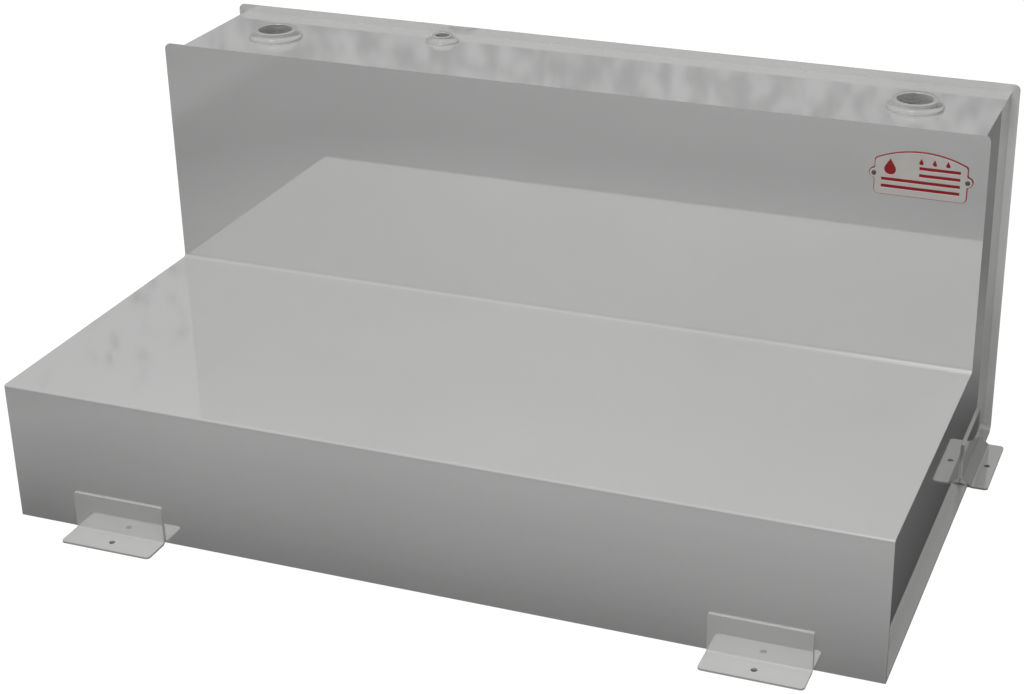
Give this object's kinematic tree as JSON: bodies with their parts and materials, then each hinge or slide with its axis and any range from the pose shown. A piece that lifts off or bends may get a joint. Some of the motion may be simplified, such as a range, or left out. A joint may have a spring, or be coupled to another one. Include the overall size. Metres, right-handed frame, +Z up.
{
  "type": "truck bed transfer tank",
  "caption": "L-shaped welded aluminium liquid transfer tank for a truck bed, with a low deck, a raised riser, threaded ports on top and bolt-down feet.",
  "frame": {"origin": "middle of the tank's outline on the floor that its feet stand on", "axes": "+X along the tank towards its pickup end, +Y from the deck's front face towards the back wall, +Z up"},
  "size_m": [1.435, 0.8364, 0.6114],
  "materials": {
    "shell": "bright mill finish",
    "baffle": "mill finish",
    "fitting": "turned",
    "bracket": "mill finish",
    "badge_backing": "gloss",
    "badge_face": "satin",
    "pin": "plain"
  },
  "bodies": {
    "root": {"front_sheet": "shell", "back_sheet": "shell", "top_plate": "shell", "left_end_plate": "shell", "right_end_plate": "shell", "left_baffle": "baffle", "middle_baffle": "baffle", "right_baffle": "baffle", "fill_bung": "fitting", "vent_bung": "fitting", "pickup_bung": "fitting", "front_left_bracket": "bracket", "front_right_bracket": "bracket", "left_end_bracket": "bracket", "right_end_bracket": "bracket", "badge_backing": "badge_backing", "badge_face": "badge_face", "badge_pins": "pin"}
  },
  "joints": []
}
